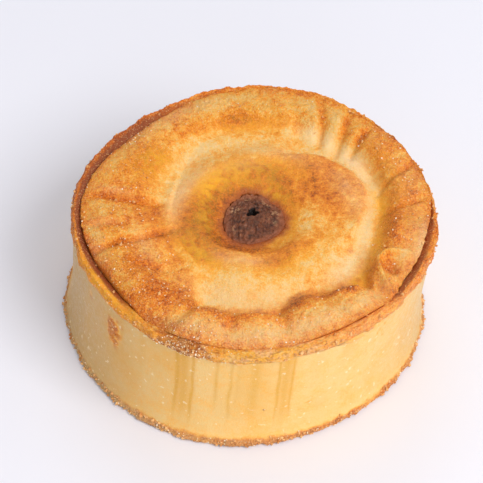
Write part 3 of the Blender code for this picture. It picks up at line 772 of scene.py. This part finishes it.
def make_lid():
    """The lid, with its crimps, creases and crisp browned relief."""
    lid = turned("crimped_lid", lid_outline(), LID_STEPS, True)
    radius, angle, height = measured(lid)
    top = height > DOME_TOP - 0.1
    under = height < LID_UNDERSIDE + 0.05

    vent, edge = vent_radius(angle), frill_edge(angle)
    share = (radius - VENT_RADIUS) / (OUTLINE_EDGE - VENT_RADIUS)
    out = mix(vent, edge, share)
    plain = round_places(out, angle, np.full_like(out, DOME_TOP))
    crust = frill_share(out, angle)
    puffed = 0.5 * crust + 0.5 * crust * ease(lumps(plain + 20.0, 7.0), -0.2, 0.5)
    puffed *= 1.0 - 0.6 * spot(angle, out, 150, 33, 14.0, 7.0)
    rise = lid_top(out, angle) + crust * CRUMB_RELIEF * lumps(plain, 3.0)
    fine = 0.42 * np.abs(lumps(plain, 2.0)) + 0.26 * lumps(plain, 1.1)
    fine += 0.20 * lumps(plain + 40.0, 0.6)
    rise += fine * mix(0.25, 1.0, puffed)
    ragged = 0.35 * lumps(plain, 1.3) * ease(share, 0.93, 1.0)
    torn = (lumps(plain, 2.2) + 0.7 * lumps(plain, 1.0)) * (0.35 + 0.65 * swell(angle, 105, 80))
    torn -= 0.15 + 0.45 * ease(swell(angle, 290, 110), 0.3, 0.8)
    ragged += torn * (1.0 - ease(share, 0.0, 0.05))
    lapped = ease(np.cos(np.radians(angle - 275.0)), 0.6, 0.75)
    lap = 0.6 * lapped + 0.5 * swell(angle, 70, 45)
    tucked = (CLEARANCE + lap) * ease(share, 0.9, 1.0)
    out = np.minimum(out + ragged + tucked, bore_radius(angle, rise) + lap - 0.05)

    near_vent = 1.0 - ease(radius, VENT_RADIUS + 0.5, 24.0)
    below = radius + near_vent * (vent - VENT_RADIUS)
    hang = np.minimum(bore_radius(angle, height), edge + CLEARANCE) - 0.05 + lap * (height > 32.0)
    places = round_places(np.select((top, under), (out, below), hang), angle, np.where(top, rise, height))
    settle(lid, places)

    light_side = ease(height, 31.8, 32.6)
    side_tone = mix(0.8, 0.5, np.maximum(light_side, lapped))
    rim_of_vent = vent + 1.5 + 0.8 * lumps(plain, 2.2)
    stain = 0.9 * (1.0 - ease(out, rim_of_vent - 1.8, rim_of_vent + 0.9))
    stain *= 1.0 - 0.9 * spot(angle, out, 164, 9.4, 1.5, 1.0) - 0.3 * spot(angle, out, 215, 9.8, 12.0, 1.4)
    stain += 0.4 * ease(spot(angle, out, 241, 42.5, 7.0, 3.0) + 0.5 * lumps(plain, 1.2), 0.3, 0.9)
    stain += 0.35 * spot(angle, out, *CURL_HOLLOW[:3], 1.6)
    paint(
        lid,
        browned=np.where(top, lid_browning_and_shading(out, angle, plain, fine / 0.3), side_tone),
        greasy=spots(angle, out, GREASY_PATCHES) * top,
        dusty=spots(angle, out, DUSTY_HIGHLIGHT_PATCHES) * top,
        raw=spots(angle, out, RAW_PATCHES) * top,
        stained=np.where(top, stain, 0.8 * (1.0 - light_side) * (1.0 - lapped)),
        crumbly=crust,
        dull=0.0,
        dripped=0.0,
    )
    lid.data.materials.append(crust_finish("browned_crust", CRUST_STOPS[0][1], 1.0, 0.24, 0.0, 0.75))
    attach(lid, "root")
    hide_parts("pastry_lid")
    crisp = top * crust * (0.2 + swell(angle, 214, 40) + 0.4 * swell(angle, 20, 40))
    # Pale grains gather here: partly real grains and partly painted glints, thickest at the front left edge
    # of the frill, at the back left and along the front.
    grains_and_glints = top * (spot(angle, out, 249, 42.5, 6.0, 1.6) + 0.6 * spot(angle, out, 140, 39.5, 3.0, 1.5))
    grains_and_glints += 0.25 * top * spot(angle, out, 275, 40.5, 14.0, 2.5)
    return lid, 0.12 * crisp, grains_and_glints + 0.13 * crisp


# The case


# Drips of fat down the wall: angle, half width in degrees, strength, height where it fades out
DRIPS = (
    (246.9, 0.6, 0.78, 2), (249.4, 2, 0.62, 2), (252.2, 0.5, 0.95, 2),
    (259.8, 0.6, 0.58, 9), (264.2, 0.5, 0.62, 5), (266.6, 1, 0.25, 12),
    (271.6, 1.8, 0.4, 6), (279.1, 0.5, 0.78, 3), (281.3, 1.7, 0.64, 2),
    (283.4, 0.5, 0.82, 4), (234, 1.3, 0.4, 12), (225, 1.8, 0.35, 10),
    (292, 2.2, 0.18, 14), (301, 1.4, 0.22, 16), (60, 1, 0.6, 6),
    (96, 0.8, 0.55, 10), (141, 1.1, 0.6, 5),
)

# Baked-on marks on the wall: angle, height, half width, half height, and how brown they are
WALL_MARKS = (
    (221, 23.5, 2.5, 4.6, 1), (207, 27.5, 1.2, 2.4, 0.30), (315.5, 26.5, 1.8, 4, 0.16),
    (290, 13.5, 1.2, 1.4, 0.22), (75, 20, 1.3, 2.6, 0.6), (120, 14, 0.9, 1.2, 0.35),
)
SPECK = (275.5, 12.5, 0.3, 0.3, 1.0)

# Flakes that have peeled away under the rim: angle, height, half width, half height, and how far they stand
FLAKES = (
    (304, 30.4, 3.4, 0.6, 1), (299, 31.4, 2, 0.5, 0.8), (310, 31.7, 2.4, 0.6, 0.8),
    (324, 31.2, 1.6, 0.5, 0.7),
)

# Millimetres round the wall for each degree
WALL_DEGREE = 0.784


def wall_spots(angle, height, table):
    """The sum of soft spots on the wall, each given as (angle, height, half width, half height, amount)."""
    total = 0.0
    for at, level, wide, high, amount in table:
        across = turn_between(angle, at) * WALL_DEGREE / wide
        total = total + amount * np.exp(-(across**2) - ((height - level) / high) ** 2)
    return total


def case_outline():
    """Outline of the case from the middle of its underside, up the wall, over the rim, to its floor."""
    inner = WALL_RADIUS - WALL_THICKNESS
    outline = [(radius, 0.0) for radius in (0.0, 12.0, 24.0, 36.0, 42.0, FOOT_RADIUS - 0.9)]
    # Each corner of the outside: radius, height, and the spacing of the points on the way there
    corners = (
        (FOOT_RADIUS, 0.7, 0.25),
        (FOOT_RADIUS - 0.5, 1.6, 0.25),
        (WALL_RADIUS + 0.7, 3.6, 0.25),
        (WALL_RADIUS + 0.1, 9.0, 0.3),
        (WALL_RADIUS - 0.1, 17.0, 0.45),
        (WALL_RADIUS, 25.0, 0.45),
        (WALL_RADIUS + 0.1, 31.0, 0.45),
        (RIM_RADIUS, 32.4, 0.25),
        (RIM_RADIUS + 0.1, 34.3, 0.25),
        (RIM_RADIUS - 0.4, RIM_TOP, 0.25),
        (RIM_RADIUS - RIM_WIDTH, RIM_TOP - 0.3, 0.045),
    )
    for *end, spacing in corners:
        start = outline[-1]
        count = max(1, round(math.dist(start, end) / spacing))
        for step in range(1, count + 1):
            outline.append((mix(start[0], end[0], step / count), mix(start[1], end[1], step / count)))
    for share in (0.97, 0.93, 0.88, 0.83, 0.78, 0.73, 0.67, 0.61, 0.54, 0.47, 0.4, 0.3, 0.2, 0.1):
        outline.append((inner + 2.0 * share, mix(LID_UNDERSIDE, RIM_TOP - 0.5, share)))
    outline += [(inner, 20.0), (inner, FLOOR_THICKNESS + 1.4), (inner - 1.6, FLOOR_THICKNESS)]
    return outline + [(22.0, FLOOR_THICKNESS), (0.0, FLOOR_THICKNESS)]


def make_case():
    """The case: a smooth pale wall with a crisp rim and a crumbly foot."""
    case = turned("pale_case", case_outline(), CASE_STEPS, False)
    radius, angle, height = measured(case)
    inner = WALL_RADIUS - WALL_THICKNESS
    floor = (height < FLOOR_THICKNESS + 0.05) & (radius < inner)
    ledge = (height > RIM_TOP - 0.35) & (radius < RIM_RADIUS - 0.39)
    inside = (height > FLOOR_THICKNESS - 0.05) & (radius < RIM_RADIUS - 0.9) & ~floor & ~ledge
    outside = ~floor & ~inside
    inward = np.clip((RIM_RADIUS - 0.4 - radius) / (RIM_WIDTH - 0.4), 0.0, 1.0) * ledge

    place = round_places(radius - 3.0 * inward, angle, height)
    at_foot = (1.0 - ease(height, 0.9, 2.2)) * outside
    at_rim = ease(height, 30.8, 32.4)
    crust = at_rim + at_foot * (radius > FOOT_RADIUS - 0.6)
    out = radius + squareness(angle) * mix(0.45, 0.7, at_rim)
    out = np.where(ledge, mix(rim_outer(angle) - 0.4, rim_inner(angle), inward), out)
    out += crust * 1.8 * CRUMB_RELIEF * lumps(place, 4.2) * (1.0 - inward)
    smooth_rim = 0.8 * swell(angle, 214, 20) + 0.5 * swell(angle, 276, 16)
    crumbly = np.maximum(at_rim * (1.0 - 0.6 * smooth_rim), at_foot) * (height > 0.05)
    fine = 0.30 * lumps(place, 1.5) + 0.24 * lumps(place, 0.8) + 0.14 * lumps(place, 0.45)
    layers = lumps(place * (0.16, 0.16, 1.0), 0.55) * swell(angle, 268, 36) * at_rim
    out += crumbly * (fine * (1.0 - 0.45 * at_rim * swell(angle, 90, 70)) + 0.4 * layers)
    out += (1.0 - crumbly) * (0.16 * lumps(place, 9.0) + 0.05 * lumps(place, 1.6)) * (height > 0.05)
    rise = height + (height > RIM_TOP - 0.6) * (1.8 * CRUMB_RELIEF * lumps(place, 4.6) + 0.8 * fine)
    rise = sunk(angle, rise, (1.0 - inward) * outside)
    slope = inside & (height > LID_UNDERSIDE)
    gap = swells(angle, GROOVES)
    shelf_end = rim_inner(angle) - gap
    shelf_height = sunk(angle, RIM_TOP - 0.5, 0.0) - 0.2 - 0.55 * np.clip(gap, 0.0, 1.2)
    shelf = ease(inward, 0.55, 1.0)
    out = mix(out, shelf_end, shelf * ledge)
    rise = mix(rise, shelf_height + 0.5 * fine, shelf * ledge)
    bore = bore_radius(angle, rise)
    bore = np.where(slope, np.minimum(bore, shelf_end - 0.02), radius + bore - inner)
    rise = np.where(slope, np.minimum(rise, shelf_height - 0.05), rise)
    marks = wall_spots(angle, height, WALL_MARKS) * outside
    flakes = ease(wall_spots(angle, height + 0.5 * lumps(place, 1.5), FLAKES), 0.35, 0.6) * outside
    out += (0.3 + 0.8 * fine) * ease(marks, 0.15, 0.5) + 0.45 * flakes
    settle(case, round_places(np.select((inside, floor), (bore, radius), out), angle, rise))

    dark_side = swell(angle, 145, 46)
    sunk_side = np.clip(swell(angle, 212, 22) + 0.9 * swell(angle, 276, 14), 0.0, 1.0)
    rim_tone = 0.44 + 0.30 * dark_side + 0.10 * swell(angle, 340, 30) + 0.16 * lumps(place, 2.6)
    rim_tone -= 0.24 * swell(angle, 274, 22)
    rim_line = 31.9 + 1.3 * swell(angle, 208, 24) + 0.8 * lumps(place, 3.0)
    upper = ease(height, rim_line - 0.7, rim_line + 0.5) * outside
    foot_tone = 0.66 + 0.25 * lumps(place, 2.5) + 0.12 * swell(angle, 190, 40)
    # The extra browning at the left of the wall, round 197 degrees, is painted shade.
    browned = 0.05 + 0.10 * lumps(place, 7.0) + 0.08 * lumps(place, 2.6) + 0.12 * swell(angle, 197, 34)
    browned += 0.6 * ease(marks + 0.7 * lumps(place, 1.4) * (marks > 0.05), 0.1, 0.6) + 0.28 * flakes
    browned = mix(browned, rim_tone, upper)
    band = 1.0 + 0.5 * swell(angle, 262, 45)
    foot = (1.0 - ease(height + 0.8 * lumps(place, 2.0), band, 1.9 * band + 0.4)) * outside
    browned = mix(browned, foot_tone, foot)
    browned = np.where(inside, 0.45 + 0.4 * dark_side + 0.15 * lumps(place, 2.5), browned)

    waver = angle + 0.5 * lumps(place * (1.0, 1.0, 0.35), 2.5)
    drips = sum(
        strength * swell(waver, at, width) * ease(height, low, low + 12.0)
        for at, width, strength, low in DRIPS
    )
    drips += 0.30 * ease(lumps(place * (1.0, 1.0, 0.2), 7.0), -0.1, 0.4) * ease(height, 2.0, 14.0)
    juicy = 0.7 * dark_side * ease(inward, 0.2, 0.6) + slope * 0.6
    juicy += 0.9 * ledge * ease(gap, 0.15, 0.6) * ease(inward, 0.4, 0.7)
    juicy += 0.4 * upper * swell(angle, 166, 26)
    juicy += 0.6 * upper * ease(swell(angle, 247, 12) + 0.5 * lumps(place, 1.2), 0.3, 0.9)
    juicy += 0.4 * upper * ease(1.4 * lumps(place, 0.9), 0.15, 0.5) * swell(angle, 275, 40)
    # Pale dusty tone on the flakes, the foot and the rim at the front right; on the rim it is partly a
    # painted highlight.
    dusty = 0.35 * upper * swell(angle, 306, 30) + 0.5 * flakes + 0.15 * foot
    # Painted shade: a darker tone on the outside of the wall at the left, the front left and the far right.
    # The foot at the front left is made darker with the same tone.
    dull = 0.9 * swell(angle, 192, 22) + 0.45 * swell(angle, 222, 16) + 0.45 * swell(angle, 350, 24)
    dull *= outside * (1.0 - upper) * (1.0 - ease(marks, 0.1, 0.5))
    paint(
        case,
        browned=browned,
        greasy=(slope + upper * ease(height, 33.0, 34.6)) * sunk_side * (1.0 - dark_side),
        dripped=drips * outside * (1.0 - upper),
        stained=juicy + wall_spots(angle, height, (SPECK,)) * outside,
        dusty=dusty + 0.8 * upper * ease(layers, 0.08, 0.3),
        crumbly=np.maximum(np.maximum(upper * (1.0 - 0.6 * smooth_rim), foot), 0.25),
        dull=dull + 0.55 * foot * swell(angle, 250, 50),
        raw=0.0,
    )
    case.data.materials.append(crust_finish("pale_case_crust", WALL_PALE, 0.9, 0.3, 0.55, 0.25))
    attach(case, "root")
    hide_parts("pastry_case")
    shown = outside * np.where(ledge, 0.25, 1.0)
    crisp_rim = upper * ease(height, 33.0, 34.5) * (1.0 - 0.8 * swell(angle, 90, 70))
    gritty = shown * (0.5 * crisp_rim + 2.0 * foot + 0.8 * ease(marks, 0.2, 0.5))
    # Pale grains thick at the front left of the rim are painted glints; those on the foot are real grains.
    grains_and_glints = 2.5 * shown * upper * swell(angle, 249, 7) + 0.45 * shown * foot
    return case, gritty, grains_and_glints


# The meat


def meat_outline():
    """Outline of the filling: up from the case's floor, under the lid, into the steam hole, to the pit."""
    low, top = FLOOR_THICKNESS + CLEARANCE, LID_UNDERSIDE - CLEARANCE
    outline = [(0.0, low), (22.0, low), (MEAT_SIDE - 1.6, low), (MEAT_SIDE, low + 1.6)]
    outline += [(MEAT_SIDE, top - 1.2), (MEAT_SIDE - 1.2, top), (24.0, top), (VENT_RADIUS + 0.1, top)]
    outline += [(VENT_RADIUS - 0.1, LID_UNDERSIDE + 0.4), (VENT_RADIUS - 0.1, MEAT_TOP - 1.4)]
    upper = np.linspace(VENT_RADIUS - 0.3, PIT_RADIUS + 0.1, MEAT_RINGS)
    outline += [(radius, MEAT_TOP) for radius in upper]
    for share in (0.9, 0.7, 0.5, 0.3, 0.0):
        outline.append((PIT_RADIUS * share, MEAT_TOP - PIT_DEPTH * (1.0 - share)))
    return outline


# Fatty bits in the meat: angle, radius, reach round the pie, reach outwards, amount
FATTY_BITS = (
    (150, 6.2, 1, 2, 0.9), (100, 6.8, 2.4, 1, 0.7), (60, 6.4, 1.6, 1, 0.6),
    (15, 6, 1.2, 1.4, 0.7), (345, 5, 1, 0.8, 0.5), (215, 6.2, 1, 0.8, 0.4),
)


def make_meat():
    """The meat: coarse mince in the steam hole, with the torn pit where the steam came out."""
    meat = turned("mince", meat_outline(), MEAT_STEPS, False)
    radius, angle, height = measured(meat)
    in_pit = (radius < PIT_RADIUS + 0.02) & (height > LID_UNDERSIDE - 2.0)
    in_vent = in_pit | (radius < VENT_RADIUS + 0.05) & (height > LID_UNDERSIDE - 1.0)
    spread = in_vent * ease(radius, PIT_RADIUS, VENT_RADIUS - 0.5)
    torn = np.cos(np.radians(3.0 * angle + 60.0)) + 0.6 * np.cos(np.radians(5.0 * angle))
    radius = radius * (1.0 + 0.22 * torn * in_vent * (1.0 - ease(radius, PIT_RADIUS, 3.5)))
    place = round_places(radius * mix(1.0, 0.99 * vent_radius(angle) / VENT_RADIUS, spread), angle, height)
    on_top = in_vent & (height > MEAT_TOP - 1.0)
    dome = -0.5 * ease(radius, 3.5, VENT_RADIUS - 0.5)
    coarse = 0.6 * lumps(place, 2.2) + 0.8 * np.abs(lumps(place, 1.5)) + 0.4 * lumps(place, 0.6)
    place[:, 2] += on_top * (dome + coarse * mix(0.4, 1.0, ease(radius, PIT_RADIUS, 3.0)))
    towards_pit = in_vent * (1.0 - ease(radius, PIT_RADIUS, VENT_RADIUS - 1.2))
    place[:, 0] += PIT_SHIFT[0] * towards_pit
    place[:, 1] += PIT_SHIFT[1] * towards_pit
    settle(meat, place)
    fatty = on_top * (spots(angle, radius, FATTY_BITS) + 0.05)
    wet_edge = ease(radius + 0.8 * lumps(place, 1.6), VENT_RADIUS - 2.4, VENT_RADIUS - 0.3)
    # The pit is marked for painted shade
    paint(meat, pit=in_pit, fatty=fatty, juicy=0.8 * in_vent * wet_edge)
    meat.data.materials.append(meat_finish())
    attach(meat, "root")
    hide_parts("meat_filling")


# The crumbs: how many, and the smallest and largest radius
TOASTED_COUNT = 2400
TOASTED_SIZES = (0.12, 0.50)
PALE_COUNT = 1500
PALE_SIZES = (0.07, 0.24)


def crumb_shape(seed):
    """One lumpy crumb about a millimetre in radius: its points and its faces."""
    deselect_all()
    bpy.ops.mesh.primitive_ico_sphere_add(subdivisions=1, radius=1.0)
    crumb = bpy.context.object
    bpy.ops.object.mode_set(mode="EDIT")
    bpy.ops.mesh.select_all(action="SELECT")
    bpy.ops.transform.vertex_random(offset=0.4, uniform=1.0, normal=0.0, seed=seed)
    bpy.ops.object.mode_set(mode="OBJECT")
    points, faces = points_of(crumb), np.array([face.vertices[:] for face in crumb.data.polygons])
    bpy.data.objects.remove(crumb)
    return points, faces


def scattered(name, beds, count, sizes, finish, seed):
    """One piece made of many crumbs that lie on other pieces, more of them where the chance is higher."""
    draw = np.random.default_rng(seed)
    places = np.vstack([points_of(bed) for bed, chance in beds])
    normals = np.vstack([points_of(bed, "normal") for bed, chance in beds])
    chances = np.concatenate([np.clip(chance, 0.0, None) for bed, chance in beds])
    picked = draw.choice(len(places), count, replace=False, p=chances / chances.sum())
    points, faces = crumb_shape(seed)
    all_points, all_faces = [], []
    for number, bed_point in enumerate(picked):
        size = mix(*sizes, draw.random() ** 2.5) * MM
        turn = Quaternion(draw.normal(size=4)).normalized().to_matrix()
        shape = (points * draw.uniform(0.6, 1.2, 3)) @ np.array(turn) * size
        shape += places[bed_point] + normals[bed_point] * size * 0.3
        shape[:, 2] += max(0.0, -shape[:, 2].min())
        all_points.append(shape)
        all_faces.append(faces + number * len(points))
    data = bpy.data.meshes.new(name)
    data.from_pydata(np.vstack(all_points).tolist(), [], np.vstack(all_faces).tolist())
    piece = bpy.data.objects.new(name, data)
    bpy.context.scene.collection.objects.link(piece)
    data.materials.append(finish)
    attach(piece, "root")


def crumb_finish(name, dark, light, rough):
    """Crumbs of one colour, from dark to light."""
    crumb = Finish(name, rough, 0.4)
    colour = crumb.ramp(crumb.grain(1.4, 1.0), ((0.3, dark), (0.7, light)))
    crumb.feed(crumb.shader.inputs["Base Color"], colour)
    return crumb.material


def make_crumbs(beds):
    """Toasted crumbs, and pale grains that are partly painted glints, on the rim, the foot and the crisp
    parts of the lid.
    """
    toasted = crumb_finish("toasted_crumb", (0.55, 0.20, 0.04), (0.90, 0.54, 0.22), 0.5)
    pale = crumb_finish("pale_and_glint_grain", (0.86, 0.58, 0.26), (0.95, 0.86, 0.70), 0.25)
    gritty = [(bed, chance) for bed, chance, grain_and_glint in beds]
    grains_and_glints = [(bed, grain_and_glint) for bed, chance, grain_and_glint in beds]
    scattered("toasted_crumbs", gritty, TOASTED_COUNT, TOASTED_SIZES, toasted, 11)
    scattered("pale_and_glint_grains", grains_and_glints, PALE_COUNT, PALE_SIZES, pale, 23)


# The floor and the light
TABLE_WHITE = (0.82, 0.82, 0.885, 1.0)
ROOM_GLOW = (0.96, 0.97, 1.0, 1.0)
ROOM_GLOW_STRENGTH = 0.60

# The camera: degrees above the table, distance, lens, and how far its aim is from the pie's middle
CAMERA_RISE = 48.8
CAMERA_DISTANCE = 598.0
CAMERA_LENS = 171.5
LOOK_HEIGHT = 9.2
AIM_LEFT = 3.25
AIM_UP = 10.27


def make_floor():
    """A plain pale table top."""
    deselect_all()
    bpy.ops.mesh.primitive_plane_add(size=6.0)
    floor = bpy.context.object
    floor.name = "table_top"
    paper = Finish("pale_table", 0.7, 0.2)
    paper.shader.inputs["Base Color"].default_value = TABLE_WHITE
    floor.data.materials.append(paper.material)


def softbox(name, place, aim, width, power, tint):
    """A large soft lamp that shines from place at aim, both in metres."""
    lamp = bpy.data.lights.new(name, "AREA")
    lamp.shape = "SQUARE"
    lamp.size = width
    lamp.energy = power
    lamp.color = tint
    holder = bpy.data.objects.new(name, lamp)
    holder.location = place
    holder.rotation_euler = (Vector(aim) - Vector(place)).to_track_quat("-Z", "Y").to_euler()
    bpy.context.scene.collection.objects.link(holder)


def make_light():
    """Soft light from the front right and from behind, and an even glow all round."""
    world = bpy.data.worlds.new("soft_room")
    world.use_nodes = True
    glow = world.node_tree.nodes["Background"].inputs
    glow["Color"].default_value = ROOM_GLOW
    glow["Strength"].default_value = ROOM_GLOW_STRENGTH
    bpy.context.scene.world = world
    softbox("key_softbox", (0.50, -0.46, 0.74), (0.0, 0.0, 0.02), 0.52, 6.4, (1.0, 0.985, 0.97))
    softbox("back_softbox", (-0.15, 0.85, 0.80), (0.0, 0.0, 0.03), 0.6, 1.8, (1.0, 0.99, 0.985))
    softbox("front_softbox", (0.10, -0.95, 0.32), (0.0, 0.0, 0.02), 0.5, 1.1, (1.0, 0.98, 0.96))
    bpy.context.scene.view_settings.view_transform = "Standard"


def make_camera():
    """A long lens that looks down at the pie from the front."""
    rise = math.radians(CAMERA_RISE)
    back = Vector((0.0, -math.cos(rise), math.sin(rise)))
    up = Vector((0.0, math.sin(rise), math.cos(rise)))
    look = Vector((MIDDLE[0] + LEAN / 2.0, MIDDLE[1], LOOK_HEIGHT))
    place = look + back * CAMERA_DISTANCE
    aim = look + Vector((-AIM_LEFT, 0.0, 0.0)) + up * AIM_UP
    lens = bpy.data.cameras.new("long_lens")
    lens.lens = CAMERA_LENS
    lens.sensor_width = 36.0
    lens.clip_start, lens.clip_end = 0.01, 20.0
    camera = bpy.data.objects.new("long_lens", lens)
    camera.location = place * MM
    camera.rotation_euler = (aim - place).to_track_quat("-Z", "Y").to_euler()
    bpy.context.scene.collection.objects.link(camera)
    bpy.context.scene.camera = camera


lid_bed = make_lid()
case_bed = make_case()
make_meat()
make_crumbs((lid_bed, case_bed))
make_floor()
make_light()
make_camera()
